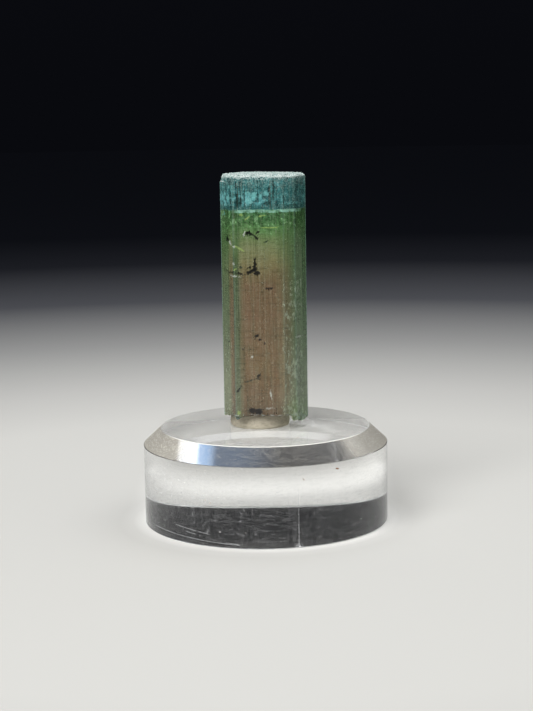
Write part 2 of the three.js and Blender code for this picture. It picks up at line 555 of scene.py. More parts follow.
def pad_mesh(settings):
    """A squashed disc between the stand and the crystal, a little lumpy at its side."""
    middle = (PAD_LOW + PAD_HIGH) / 2
    half = (PAD_HIGH - PAD_LOW) / 2
    lumps = smooth_noise(np.arange(PAD_SIDES) / PAD_SIDES, 9, seed=5)
    points = []
    for share, width in PAD_PROFILE:
        for i in range(PAD_SIDES):
            angle = 2 * math.pi * i / PAD_SIDES
            wave = 0.5 + 0.5 * math.sin(3.1 * share + 5 * angle)
            inset = settings.lump * (lumps[i] * share + 0.6 * wave * (1 - share) * share * 4)
            points.append(
                (
                    middle.x + (half.x * width - inset) * math.cos(angle),
                    middle.y + (half.y * width - inset) * math.sin(angle),
                    PAD_LOW.z + (PAD_HIGH.z - PAD_LOW.z) * share,
                )
            )
    faces = ring_faces(len(PAD_PROFILE), PAD_SIDES)
    last = (len(PAD_PROFILE) - 1) * PAD_SIDES
    faces.append(tuple(reversed(range(PAD_SIDES))))
    faces.append(tuple(range(last, last + PAD_SIDES)))
    return mesh_from("tack_pad", points, faces, math.radians(60))


def putty(settings):
    """Grey-beige mineral tack: waxy, a little lumpy, with specks of dust."""
    material, graph = new_material("tack_putty")
    place, *_ = graph.place()
    broad = graph.noise(place, 900.0, 3.0)
    fine = graph.noise(place, 5200.0, 4.0, 0.65)
    folds = graph.noise(place, 2600.0, 3.0, 0.65, across=0.5, up=2.2)
    shade = graph.coats(
        (*settings.tone, 1.0),
        (broad.step(0.35, 0.7) * 0.7, "#d3cab6"),
        (folds.step(0.52, 0.66) * 0.55, "#94876f"),
        (folds.step(0.46, 0.34) * 0.45, "#ddd5c4"),
        (fine.step(0.56, 0.70) * 0.55, "#877b66"),
    )
    principled = {
        "Base Color": shade,
        "Roughness": 0.55 + fine * 0.2,
        "Normal": graph.bump(broad + folds * 0.8 + fine * 0.4, 0.9, 0.09 * MM),
    }
    finish_material(graph, graph.principled(principled))
    return material


def hashed(column, row, seed):
    """Repeatable values from 0 to 1 for whole-numbered places."""
    value = np.sin(column * 127.1 + row * 311.7 + seed * 74.7) * 43758.5453
    return value - np.floor(value)


def smooth_noise(share, count, seed, row=0.0):
    """Noise from 0 to 1 with count cells round a loop, at shares from 0 to 1 of the loop."""
    x = np.asarray(share) * count
    row = np.asarray(row, float)
    column = np.floor(x)
    low_row = np.floor(row)
    across = x - column
    across = across * across * (3 - 2 * across)
    up = row - low_row
    up = up * up * (3 - 2 * up)
    here = column % count
    following = (column + 1) % count

    def along(at_row):
        first = hashed(here, at_row, seed)
        return first + (hashed(following, at_row, seed) - first) * across

    low = along(low_row)
    return low + (along(low_row + 1) - low) * up


def ease(value, low, high):
    """0 below low, 1 above high, smooth between. Low may be the higher."""
    t = np.clip((np.asarray(value, float) - low) / (high - low), 0.0, 1.0)
    return t * t * (3 - 2 * t)


class Prism:
    """The prism's surface as a grid: points round the plan, and levels up it."""

    # Distance below the top face and inset there, in millimetres
    TOP_RIM = (
        (0.60, 0.0), (0.42, 0.008), (0.30, 0.03), (0.20, 0.07), (0.11, 0.12), (0.04, 0.20),
        (0.0, 0.30),
    )
    # Height above the break and inset there, in millimetres
    BOTTOM_RIM = ((0.0, 0.16), (0.05, 0.08), (0.14, 0.03), (0.30, 0.0))
    # Share of the outline in the rings that close each end
    CAP_SCALES = (0.97, 0.93, 0.88, 0.82, 0.75, 0.67, 0.58, 0.46, 0.3, 0.14)
    # Distance between two levels, in millimetres
    LEVEL_STEP = 0.12
    # Point spacing on each face of the plan, as a multiple of the finest
    FACE_STEPS = (1.0, 1.0, 1.3, 2.5, 2.5, 2.5, 2.5, 2.5, 2.5, 2.2, 1.0)

    def __init__(self, step):
        corners = [np.array(c) for c in PRISM_PLAN]
        points, normals, face = [], [], []
        self.starts = []
        for i, corner in enumerate(corners):
            end = corners[(i + 1) % len(corners)]
            width = np.linalg.norm(end - corner)
            self.starts.append(len(points))
            steps = max(3, round(width / (step * self.FACE_STEPS[i])))
            along = (end - corner) / width
            outward = np.array((along[1], -along[0]))
            for k in range(steps):
                points.append(corner + (end - corner) * k / steps)
                normals.append(outward)
                face.append(i)
        self.plan = np.array(points)
        self.size = len(points)
        self.face = np.array(face)
        normals = np.array(normals)
        for start in self.starts:
            both = normals[start] + normals[start - 1]
            normals[start] = both / np.linalg.norm(both)
        self.normals = normals
        gaps = np.linalg.norm(np.roll(self.plan, -1, axis=0) - self.plan, axis=1)
        self.round = np.concatenate(([0.0], np.cumsum(gaps)[:-1]))
        self.girth = gaps.sum()
        self.share = self.round / self.girth
        self.centre = self.plan.mean(axis=0)

    def gap(self, at):
        """Distance round the prism from a place to each point, the shorter way."""
        gap = np.abs(self.round - at)
        return np.minimum(gap, self.girth - gap)


def bottom_height(x, y):
    """The broken lower end, in millimetres: flat over the pad, with a lobe on the right."""
    middle = (PAD_LOW + PAD_HIGH) / (2 * MM)
    half = (PAD_HIGH - PAD_LOW) / (2 * MM)
    lobe = LOBE_DROP * ease(x, LOBE_START, LOBE_FULL) + LOBE_SLOPE * np.maximum(0.0, x - 3.75)
    corner = RIGHT_CORNER * ease(x, 5.1, 5.6) + LEFT_CORNER * ease(x, -4.4, -5.26)
    off = np.hypot(x - SPLINTER[0], y - SPLINTER[1])
    splinter = SPLINTER_DROP * ease(off, SPLINTER_RADIUS, 0.0)
    outside = np.hypot((x - middle.x) / half.x, (y - middle.y) / half.y)
    cells = smooth_noise(x * 0.021 + 0.4, 100, 5, row=y * 2.1 + 40)
    fine = smooth_noise(x * 0.06 + 0.4, 100, 6, row=y * 6.0 + 90)
    relief = 0.2 * (cells - 0.8) + 0.12 * (fine - 0.6)
    return PRISM_BREAK - lobe + corner - splinter + ease(outside, 1.0, 1.12) * relief


def top_height(x, y):
    """The frosted top face, in millimetres."""
    broad = smooth_noise(x * 0.017 + 0.6, 100, 9, row=y * 1.7 + 60)
    fine = smooth_noise(x * 0.07 + 0.6, 100, 10, row=y * 7.0 + 60)
    return PRISM_TOP - 0.05 * broad - 0.035 * fine


class SPECIMEN_OT_crystal(bpy.types.Operator):
    """Builds the striated tourmaline prism"""

    bl_idname = "specimen.crystal"
    bl_label = "Tourmaline"

    def execute(self, context):
        settings = context.scene.specimen_crystal
        mesh = crystal_mesh(settings)
        new_piece("tourmaline", mesh, tourmaline(settings), "tourmaline_crystal", "tourmaline")
        return {"FINISHED"}


# How strongly each face of the plan is grooved
FACE_GROOVES = (0.22, 0.5, 0.6, 0.6, 0.9, 1.0, 0.8, 0.9, 1.0, 0.9, 0.35)
# Distance round the prism from the front left edge, in millimetres, and the share of rind there
RIND_ROUND = (
    (0.0, 0.85), (0.4, 1.0), (0.8, 0.3), (1.3, 0.0), (5.2, 0.0), (6.4, 0.35), (7.2, 0.6), (8.1, 0.95),
    (11.0, 1.0), (14.0, 0.8), (15.5, 0.3), (18.5, 0.15), (20.5, 0.7), (22.5, 0.9), (24.0, 0.6),
    (26.0, 0.2), (28.0, 0.7), (30.2, 1.0), (31.3, 1.0), (31.9, 0.15), (32.5, 0.1), (32.83, 0.9),
)
# Striations, in millimetres: how many, half widths, heights of their middles, half lengths, and
# the depth of the waves between them
GROOVE_COUNT = 420
GROOVE_WIDTHS = (0.10, 0.14, 0.2, 0.3, 0.45)
GROOVE_MIDDLES = (12.0, 47.0)
GROOVE_REACHES = (2.0, 18.0)
WAVE_DEPTH = 0.035

# The least half width of a mark, in millimetres, which the mesh can still show
THINNEST = 0.055
# Marks in the front faces: middle x and z, half width and half height in millimetres, and turn
# in degrees
BLACK_FLAKES = (
    (-1.76, 37.74, 0.30, 0.24, -10), (-1.39, 37.55, 0.28, 0.15, -30),
    (-0.81, 37.19, 0.38, 0.19, -38), (-0.55, 37.77, 0.30, 0.10, 35), (-4.37, 36.93, 0.13, 0.27, 15),
    (-0.94, 34.05, 0.13, 0.53, 0), (-1.01, 33.29, 0.22, 0.35, 5), (-1.34, 32.91, 0.61, 0.19, 14),
    (-0.75, 32.63, 0.33, 0.25, 0), (-1.71, 33.32, 0.33, 0.10, 20), (-1.79, 32.58, 0.33, 0.06, 20),
    (0.80, 30.67, 0.44, 0.13, 5), (-0.82, 24.67, 0.33, 0.14, 35), (-0.56, 24.19, 0.19, 0.11, -30),
    (-1.21, 24.33, 0.11, 0.08, 0), (0.09, 23.63, 0.10, 0.08, 0), (-4.35, 23.76, 0.10, 0.09, 0),
    (-2.66, 22.87, 0.16, 0.06, 0), (-1.77, 22.91, 0.14, 0.06, 10), (-0.69, 19.56, 0.33, 0.11, 50),
    (-0.84, 19.08, 0.35, 0.11, 5), (-3.26, 17.79, 0.46, 0.08, 52), (-1.62, 14.99, 0.37, 0.33, 0),
    (-0.83, 14.86, 0.40, 0.33, 0), (-4.06, 32.78, 0.58, 0.07, -3), (-2.92, 32.58, 0.56, 0.10, -10),
)
DARK_CRACKS = (
    (-2.13, 42.51, 0.08, 1.39, 0), (-0.49, 43.21, 0.06, 1.33, 0), (1.49, 43.01, 0.13, 1.20, 0),
    (-1.96, 18.85, 0.51, 0.08, 10), (0.48, 36.60, 0.30, 0.06, 20), (-3.58, 14.10, 0.48, 0.13, -8),
    (2.76, 41.81, 0.05, 1.01, 0), (-2.89, 41.68, 0.43, 0.51, 0), (0.69, 41.40, 0.46, 0.23, 0),
    (-2.78, 33.42, 0.20, 0.15, 0), (-3.30, 13.98, 0.35, 0.10, 4), (-4.30, 14.25, 0.22, 0.08, 0),
)
# Pale streaks, and painted glints among them: the small bright dots and the bright spots along the
# broken bottom edge
PALE_STREAKS_AND_GLINTS = (
    (-4.05, 36.47, 0.08, 0.28, 25), (-3.56, 35.99, 0.13, 0.11, 0), (-1.21, 14.46, 0.78, 0.09, 0),
    (0.81, 17.02, 0.09, 0.58, 5), (0.65, 15.24, 0.70, 0.06, 2), (4.54, 24.27, 0.42, 0.04, 0),
    (-1.53, 22.00, 0.14, 0.09, 0), (0.96, 14.33, 0.17, 0.09, 0), (1.92, 14.27, 0.22, 0.07, 0),
    (2.86, 14.28, 0.12, 0.09, 0), (-3.64, 14.40, 0.24, 0.08, 5), (-0.15, 14.30, 0.16, 0.06, 0),
    (-3.44, 32.27, 0.63, 0.06, -6),
    (-3.66, 33.86, 0.13, 0.13, 0), (-2.27, 37.64, 0.09, 0.33, -10),
)
LIME_NEEDLES = (
    (-2.89, 35.80, 0.61, 0.09, -30), (-0.00, 39.86, 0.43, 0.06, 6), (1.08, 38.39, 1.09, 0.06, 2),
    (-2.60, 40.05, 0.22, 0.10, -20), (-1.86, 39.58, 0.33, 0.08, 30), (-3.48, 33.16, 0.20, 0.08, 20),
    (-3.32, 14.71, 0.18, 0.23, 0),
)
AQUA_GLINTS = (
    (-1.74, 42.79, 0.43, 0.13, 5), (-0.98, 42.39, 0.33, 0.33, 0), (-1.57, 41.76, 0.40, 0.20, -20),
    (-0.11, 42.38, 0.33, 0.30, 0), (0.53, 42.67, 0.38, 0.24, 0), (-4.16, 42.12, 0.30, 0.23, 20),
    (-4.71, 42.62, 0.40, 0.06, -35), (-4.42, 43.46, 0.46, 0.05, 6), (3.61, 44.27, 0.16, 0.15, 0),
    (-4.74, 40.03, 0.10, 0.22, -25), (-3.80, 43.27, 0.04, 0.70, 0), (-1.40, 44.03, 0.51, 0.18, 0),
    (-3.96, 41.26, 0.76, 0.04, 0), (3.57, 41.40, 0.89, 0.04, -2),
)
MARKS = {
    "black": BLACK_FLAKES,
    "cracks": DARK_CRACKS,
    "pale": PALE_STREAKS_AND_GLINTS,
    "lime": LIME_NEEDLES,
    "aqua": AQUA_GLINTS,
}
# How far the outlines of the marks wander, in millimetres
FRAYING = {"black": 0.28, "cracks": 0.16, "pale": 0.14, "lime": 0.10, "aqua": 0.34}
# The marks are painted only in front of this y, in millimetres
MARKS_BACK = -0.8


def marked(x, z, marks):
    """How strongly each point is marked, from 0 to 1, by ellipses on the front."""
    mask = np.zeros(x.shape)
    for middle_x, middle_z, wide, tall, turn in marks:
        turned = math.radians(turn)
        right = x - middle_x
        up = z - middle_z
        along = right * math.cos(turned) + up * math.sin(turned)
        across = up * math.cos(turned) - right * math.sin(turned)
        reach = np.hypot(along / max(wide, THINNEST), across / max(tall, THINNEST))
        mask = np.maximum(mask, ease(reach, 1.4, 0.9))
    return mask


def crystal_mesh(settings):
    """The grooved prism, closed by rings that shrink to a pole, with its masks by point."""
    prism = Prism(settings.step / MM)
    z, inset = prism_levels(prism)
    depth = grooving(prism, z, settings.groove / MM)
    plan = prism.plan[None] - prism.normals[None] * (inset + depth)[..., None]
    body = np.concatenate((plan, z[..., None]), axis=2)

    def cap(rim, scale, height):
        spots = prism.centre + (rim[:, :2] - prism.centre) * scale
        return np.column_stack((spots, height(*spots.T)))

    under = [cap(body[0], s, bottom_height) for s in reversed(prism.CAP_SCALES)]
    over = [cap(body[-1], s, top_height) for s in prism.CAP_SCALES]
    grid = np.concatenate((under, body, over))
    poles = [(*prism.centre, float(height(*prism.centre))) for height in (bottom_height, top_height)]
    points = np.vstack((grid.reshape(-1, 3), *poles)) * MM
    faces = closed_faces(len(grid), prism.size)
    mesh = mesh_from("tourmaline", points, faces, math.radians(24))

    around = np.broadcast_to(prism.round, grid.shape[:2])
    grooves = np.zeros(grid.shape[:2])
    grooves[len(under) : len(under) + len(body)] = depth * MM / settings.groove
    masks = {
        "rind": np.interp(around, *zip(*RIND_ROUND)),
        "etch": etching(around, grid[..., 2]),
        "edge": np.broadcast_to(edge_highlight(prism), grid.shape[:2]),
        "grooves": grooves,
        **dict(marks_and_glints(prism, grid)),
    }
    for name, values in masks.items():
        add_attribute(mesh, name, values)
    return mesh


def prism_levels(prism):
    """Height and inset of each level of the prism's side, in millimetres, before its grooves."""
    chips = 0.20 * smooth_noise(prism.share, 70, 6) ** 2
    chips += 0.10 * smooth_noise(prism.share, 190, 16) ** 2
    low = bottom_height(*prism.plan.T)
    heights = []
    insets = []
    for up, inset in prism.BOTTOM_RIM:
        heights.append(low + up)
        insets.append(inset * (0.4 + 1.2 * smooth_noise(prism.share, 60, 21)))
    start = heights[-1]
    rise = PRISM_TOP - prism.TOP_RIM[0][0] - start
    levels = round((PRISM_TOP - PRISM_BREAK) / prism.LEVEL_STEP)
    for level in range(1, levels):
        heights.append(start + rise * level / levels)
        insets.append(np.zeros(prism.size))
    for down, inset in prism.TOP_RIM:
        spot = prism.plan - prism.normals * inset
        chipped = chips * ease(down, 0.35, 0.0)
        heights.append(top_height(*spot.T) - down - chipped)
        insets.append(inset + chipped * 1.2)
    z = np.array(heights)
    flake = np.where(prism.plan[:, 0] < FLAKE_RIGHT_END, FLAKE_DEPTH, 0.0)
    return z, np.array(insets) + flake * ease(z, FLAKE_LOW, FLAKE_HIGH)


def grooving(prism, z, deepest):
    """Depth of the striations at each point of the prism's side, in millimetres."""
    rng = random.Random(11)
    strength = np.array(FACE_GROOVES)[prism.face]
    depth = np.zeros(z.shape)
    for _ in range(GROOVE_COUNT):
        at = rng.random() * prism.girth
        width = rng.choice(GROOVE_WIDTHS)
        deep = rng.uniform(0.15, 1.0) * deepest * min(1.0, width / 0.2)
        middle = rng.uniform(*GROOVE_MIDDLES)
        reach = rng.uniform(*GROOVE_REACHES)
        shape = np.clip(1 - prism.gap(at) / width, 0.0, 1.0)
        near = np.nonzero(shape)[0]
        fade = ease(np.abs(z[:, near] - middle), reach, reach * 0.7)
        depth[:, near] = np.maximum(depth[:, near], shape[near] * deep * fade)
    waves = smooth_noise(np.broadcast_to(prism.share, z.shape), 26, 8, row=z / 27.0)
    return (depth + WAVE_DEPTH * waves) * strength


def marks_and_glints(prism, grid):
    """The name and the mask of each kind of mark, painted glints among them, with frayed outlines."""
    x, y, z = (grid[..., i] for i in range(3))
    shares = np.broadcast_to(prism.share, z.shape)
    fray_x = smooth_noise(shares, 190, 41, row=z / 0.17) - 0.5
    fray_z = smooth_noise(shares, 230, 42, row=z / 0.14) - 0.5
    for name, marks in MARKS.items():
        stray = FRAYING[name]
        yield name, (y < MARKS_BACK) * marked(x + stray * fray_x, z + stray * fray_z, marks)


# Strength of the painted highlight along each of the prism's eleven edges, from the front left one on
# round, and how far it reaches
EDGE_HIGHLIGHT = (0.3, 0.2, 0.35, 1.0, 0.9, 0.6, 0.6, 0.6, 0.6, 0.9, 1.0)
EDGE_WIDTH = 0.2


def edge_highlight(prism):
    """Painted highlight at each point of the plan: highest on the edges, and none on the faces."""
    wear = np.zeros(prism.size)
    for start, amount in zip(prism.starts, EDGE_HIGHLIGHT):
        near = np.clip(1 - prism.gap(prism.round[start]) / EDGE_WIDTH, 0.0, 1.0)
        wear = np.maximum(wear, amount * near)
    return wear


def etching(around, z):
    """How thickly the surface is etched, from 0 to 1, by place round the prism and height."""
    right = ease(around, 5.4, 6.6) * ease(around, 11.5, 8.4)
    left = 0.45 * ease(around, 29.5, 30.5) * ease(z, 30.0, 22.0)
    back = 0.45 * ease(around, 11.5, 13.0) * ease(around, 30.0, 28.0)
    patches = smooth_noise(around / 33.0, 11, 31, row=z / 3.1)
    low = 0.5 * ease(z, 17.5, 15.5)
    reach = 0.35 + 0.65 * ease(z, 35.0, 24.0)
    return np.clip(0.5 * low + (right * reach + left + back) * (0.45 + patches), 0.0, 1.0)


def add_attribute(mesh, name, values):
    """Stores one number for each point; the two poles, which come last, get 0."""
    layer = mesh.attributes.new(name, "FLOAT", "POINT")
    full = np.zeros(len(mesh.vertices), np.float32)
    full[: values.size] = values.reshape(-1)
    layer.data.foreach_set("value", full)


# Colour of the core, and of the green rind over it, at heights in millimetres
CORE_SHADES = (
    (14.3, "#7b6248"), (15.6, "#82694d"), (17.0, "#87694b"), (20.3, "#8d7350"),
    (26.0, "#907355"), (31.0, "#8b7353"), (32.6, "#918059"), (33.8, "#9e9668"),
    (35.6, "#979f6e"), (37.2, "#7f9e63"), (38.3, "#70a560"), (39.5, "#5b945a"),
    (40.4, "#63a16a"),
)
RIND_SHADES = (
    (14.3, "#a0a882"), (16.5, "#9fa785"), (20.3, "#929c7a"), (24.0, "#80906a"),
    (29.0, "#748862"), (35.0, "#668350"), (38.3, "#55854a"), (40.4, "#4c7e48"),
)
# Where the teal cap starts, in millimetres
CAP_FROM = 40.62
TOURMALINE_IOR = 1.63
ABSORPTION = {"Color": (0.55, 0.72, 0.52, 1.0), "Density": 70.0}


def by_height(graph, height, shades):
    """A ramp of colours up the prism."""
    rise = PRISM_TOP - PRISM_BREAK
    stops = [((z - PRISM_BREAK) / rise, shade) for z, shade in shades]
    return graph.ramp((height - PRISM_BREAK) / rise, stops)


class CrystalPatterns:
    """What the tourmaline's shades share: the place in millimetres, the masks and the noises."""

    def __init__(self, graph):
        place, *axes = graph.place()
        self.x, _, self.z = (axis / MM for axis in axes)
        for name in ("rind", "etch", "edge", "grooves", *MARKS):
            mask = graph.node("ShaderNodeAttribute", {"attribute_name": name}, output="Fac")
            setattr(self, name, mask)
        normal = graph.node("ShaderNodeNewGeometry", output="Normal")
        self.facing_up = graph.node("ShaderNodeSeparateXYZ", {}, {0: normal}, output=2)
        self.cloud = graph.noise(place, 330.0, 3.0, 0.6)
        self.mottle = graph.noise(place, 1700.0, 3.0, 0.65, up=0.75)
        self.grain = graph.noise(place, 6500.0)
        self.streak = graph.noise(place, 2400.0, 3.0, 0.6, up=0.07)
        self.hair = graph.noise(place, 7500.0, up=0.015)
        self.fleck = graph.noise(place, 4200.0, 4.0, 0.7, up=0.6)
        self.patch = graph.noise(place, 3000.0, 3.0, 0.7, up=0.45)
        self.cross = graph.noise(place, 6000.0, across=0.1)
        self.frayed = self.z + (self.mottle - 0.5) * 0.7 + (self.grain - 0.5) * 0.9


def body_shade(graph, look, pink):
    """A brown-pink core under a green rind, greener towards the cap."""
    x, z, cloud, mottle, streak = look.x, look.z, look.cloud, look.mottle, look.streak
    height = z + (cloud - 0.5) * 1.6 + (mottle - 0.5) * 0.8
    blush = cloud.step(0.49, 0.62) * z.band(15.0, 31.0, 2.0)
    blush = blush * (0.14 + look.cross.step(0.4, 0.6) * 0.18)
    covered = look.rind + (cloud - 0.5) * 0.5 + (streak - 0.5) * 0.5
    under_cap = height.step(37.4, 38.8)
    return graph.coats(
        by_height(graph, height, CORE_SHADES),
        (blush, pink),
        (covered.clamped(), by_height(graph, height, RIND_SHADES)),
        (x.step(2.2, 4.2) * z.step(17.5, 15.0) * 0.6, "#8fae63"),
        # Painted shade: a dark strip beside the front left edge, below the cap
        (x.band(-3.72, -3.1, 0.15) * z.step(36.0, 33.0) * 0.4, "#47543a"),
        (x.band(4.3, 4.9, 0.25) * z.band(22.0, 35.0, 4.0) * 0.55, "#a9ba93"),
        (x.step(3.0, 4.9) * height.step(39.0, 36.0) * 0.5, "#55875a"),
        (under_cap * mottle.step(0.52, 0.40) * 0.7, "#35602f"),
        (under_cap * mottle.step(0.54, 0.64) * 0.65, "#a2dd98"),
        (streak.step(0.54, 0.68) * 0.2, "#3c4a30"),
        (streak.step(0.44, 0.30) * 0.16, "#a9ae90"),
    )


def cap_shade(graph, look):
    """Mottled teal with a paler glow at the left and grey frost towards the rim."""
    x, z, mottle, grain = look.x, look.z, look.mottle, look.grain
    glow = z.band(41.3, 42.5, 0.4) * x.band(-5.4, 0.4, 0.8) * mottle.step(0.44, 0.58)
    return graph.coats(
        "#4c9a9a",
        (mottle.step(0.56, 0.36) * 0.75, "#225a60"),
        (mottle.step(0.50, 0.68) * 0.45, "#85dade"),
        (glow * 0.7, "#8ae6ea"),
        (x.step(1.5, 4.0) * 0.35, "#2b6462"),
        (z.step(41.6, 40.9) * 0.6, "#24605a"),
        (look.frayed.step(43.0, 44.4) * grain.step(0.40, 0.60) * 0.55, "#a6c6c2"),
        (grain.step(0.52, 0.64) * 0.3, "#a3d3d2"),
        (look.streak.step(0.57, 0.64) * z.band(41.2, 44.0, 0.5) * 0.85, "#0c2b30"),
    )


def tourmaline(settings):
    """Teal cap, green body, brown-pink core: clear enough to see into, finely striated."""
    material, graph = new_material("tourmaline")
    look = CrystalPatterns(graph)
    mottle, grain, etch = look.mottle, look.grain, look.etch
    border = look.z + (mottle - 0.5) * 0.5
    seam = border.band(CAP_FROM - 0.28, CAP_FROM - 0.02, 0.12) * look.cloud.step(0.34, 0.46)
    seam = seam * look.x.band(-2.6, 3.9, 1.4) * (0.35 + mottle.step(0.36, 0.52) * 0.65)
    spots = (look.fleck + etch * 0.19).step(0.76, 0.83)
    spots = spots.highest((look.patch + etch * 0.20).step(0.72, 0.79))
    mark_strength = 0.4 + grain.step(0.38, 0.6) * 0.45
    frost = (look.facing_up.step(0.25, 0.8) + look.frayed.step(44.3, 44.8) * 0.45).clamped()
    shade = graph.coats(
        body_shade(graph, look, (*settings.blush, 1.0)),
        (border.step(CAP_FROM - 0.15, CAP_FROM + 0.1), cap_shade(graph, look)),
        (seam, "#b0f2d8"),
        (look.hair.step(0.53, 0.66) * 0.26, "#2c3823"),
        (look.hair.step(0.47, 0.34) * 0.14, "#c3ceb4"),
        (look.cross.step(0.52, 0.64) * 0.27, "#2c3823"),
        (grain.step(0.54, 0.68) * 0.16, "#d2dac4"),
        (grain.step(0.46, 0.32) * 0.18, "#1c2a1c"),
        # Painted shade: darker where the striations are deepest
        (look.grooves.step(0.3, 0.9) * 0.16, "#2d4431"),
        (spots * 0.6, "#cbdac2"),
        ((look.fleck - etch * 0.14).step(0.32, 0.26) * 0.35, "#2f4430"),
        # Painted highlight: a pale line along the prism's edges
        (look.edge * (0.3 + grain.step(0.35, 0.6) * 0.4), "#a6d2c6"),
        (look.lime * mark_strength, "#c8e784"),
        # Pale streaks, with painted glints among them
        (look.pale * mark_strength, "#f4faf2"),
        (look.aqua * (mottle.step(0.3, 0.5) * 0.6), "#98eeea"),
        (look.cracks * 0.7, "#10302b"),
        (look.black * 0.96, "#08090b"),
        (frost, graph.mix(grain.step(0.60, 0.42), "#f6fdfa", "#a9c6c1")),
    )
    relief = look.hair * 0.3 + look.streak * 0.3 + mottle * 0.3 + spots * 0.3 + look.cross * 0.1
    roughness = 0.2 + spots * 0.35 + frost * 0.4 + mottle.step(0.5, 0.8) * 0.15
    principled = {
        "Base Color": shade,
        "Roughness": roughness.clamped(),
        "IOR": TOURMALINE_IOR,
        "Transmission Weight": settings.clearness,
        "Normal": graph.bump(relief, 0.4, 0.03 * MM),
    }
    absorption = graph.node("ShaderNodeVolumeAbsorption", {}, ABSORPTION)
    finish_material(graph, graph.principled(principled), absorption)
    return material


class SPECIMEN_OT_grains(bpy.types.Operator):
    """Scatters the frost and splinters on the crystal, and the dust on the stand"""

    bl_idname = "specimen.grains"
    bl_label = "Grains and Dust"

    def execute(self, context):
        settings = context.scene.specimen_grains
        tree = grain_tree()
        crystal = bpy.data.objects.get("tourmaline")
        stand = bpy.data.objects.get("clear_stand")
        if not crystal or not stand:
            raise RuntimeError("The crystal and the stand come before their grains")
        rime = mottled("rime", "#f1faf6", "#8fb3ad", 2600.0, 0.25, transmission=0.25)
        dust = mottled("dust", "#f2f0ea", "#b9b5ab", 3000.0, 0.95)
        grime = mottled("grime", "#a8795a", "#6d5442", 9000.0, 0.8)
        crumbs = {"Size": settings.grain, "Flatness": 0.7, "Tumble": math.pi}
        flat = {"Size": settings.grain * 0.8, "Flatness": 0.25, "Tumble": 0.0}
        rim = (PRISM_HIGH.z - 0.22 * MM, PRISM_HIGH.z)
        broken_edge = (PRISM_LOW.z - 0.1 * MM, PAD_HIGH.z + 0.12 * MM)
        outside = (0.4 * MM, STAND_HEIGHT + 0.1 * MM)
        for name, source, spread, (low, high), shape, material, slot_name in (
            ("frost_grains", crystal, settings.frost, rim, crumbs, rime, "tourmaline"),
            ("break_splinters", crystal, settings.splinters, broken_edge, crumbs, rime, "tourmaline"),
            ("dust_grains", stand, settings.dust, outside, flat, dust, "tack_putty"),
        ):
            values = {"Lowest": low, "Highest": high, "Density": spread, **shape}
            values.update(Seed=settings.seed, Material=material)
            mesh = scattered(name, source, tree, values)
            new_piece(name, mesh, material, slot_name=slot_name)
        new_piece("brown_specks", speck_mesh(BROWN_SPECKS), grime, slot_name="tack_putty")
        new_piece("lint", speck_mesh(LINT), dust, slot_name="tack_putty")
        return {"FINISHED"}


GRAIN_INPUTS = {
    "Geometry": "NodeSocketGeometry",
    **dict.fromkeys(
        ("Lowest", "Highest", "Density", "Size", "Flatness", "Tumble"), "NodeSocketFloat"
    ),
    "Seed": "NodeSocketInt",
    "Material": "NodeSocketMaterial",
}
# Faces that look down more steeply than this carry no grains
OVERHANG = -0.3


def grain_tree():
    """Geometry nodes that scatter flat-sided grains over the faces between two heights."""
    tree = bpy.data.node_groups.new("grains", "GeometryNodeTree")
    graph = Graph(tree)
    for name, kind in GRAIN_INPUTS.items():
        tree.interface.new_socket(name, in_out="INPUT", socket_type=kind)
    tree.interface.new_socket("Geometry", in_out="OUTPUT", socket_type="NodeSocketGeometry")
    sockets = tree.nodes.new("NodeGroupInput").outputs
    given = {name: Value(graph, sockets[name]) for name in GRAIN_INPUTS}

    def above(value, limit):
        return graph.node("FunctionNodeCompare", {"operation": "GREATER_THAN"}, {0: value, 1: limit})

    def both(first, second):
        return graph.node("FunctionNodeBooleanMath", {"operation": "AND"}, {0: first, 1: second})

    def upward(kind):
        return graph.node("ShaderNodeSeparateXYZ", {}, {0: graph.node(kind)}, output=2)

    height = upward("GeometryNodeInputPosition")
    facing = upward("GeometryNodeInputNormal")
    between = both(above(height, given["Lowest"]), above(given["Highest"], height))
    spread = {
        "Mesh": given["Geometry"],
        "Selection": both(between, above(facing, OVERHANG)),
        "Density": given["Density"],
        "Seed": given["Seed"],
    }
    points = graph.node("GeometryNodeDistributePointsOnFaces", {}, spread)
    lying = Value(graph, points.socket.node.outputs["Rotation"])
    turn = graph.node(
        "FunctionNodeRandomValue",
        {"data_type": "FLOAT_VECTOR"},
        {0: (-1.0, -1.0, -1.0), 1: (1.0, 1.0, 1.0), 8: given["Seed"]},
    )
    tumbled = graph.vectors("SCALE", {0: turn, "Scale": given["Tumble"]})
    rotation = graph.node("FunctionNodeRotateRotation", {}, {0: lying, 1: tumbled})
    share = graph.node(
        "FunctionNodeRandomValue", {"data_type": "FLOAT"}, {2: 0.35, 3: 1.0, 8: 3}, output=1
    )
    size = share * share * given["Size"]
    scale = graph.node("ShaderNodeCombineXYZ", {}, {0: size, 1: size, 2: size * given["Flatness"]})
    grain = graph.node("GeometryNodeMeshIcoSphere", {}, {"Radius": 1.0, "Subdivisions": 1})
    placed = {"Points": points, "Instance": grain, "Rotation": rotation, "Scale": scale}
    grains = graph.node("GeometryNodeInstanceOnPoints", {}, placed)
    solid = graph.node("GeometryNodeRealizeInstances", {}, {0: grains})
    coated = graph.node("GeometryNodeSetMaterial", {}, {0: solid, "Material": given["Material"]})
    graph.feed(tree.nodes.new("NodeGroupOutput").inputs[0], coated)
    return tree


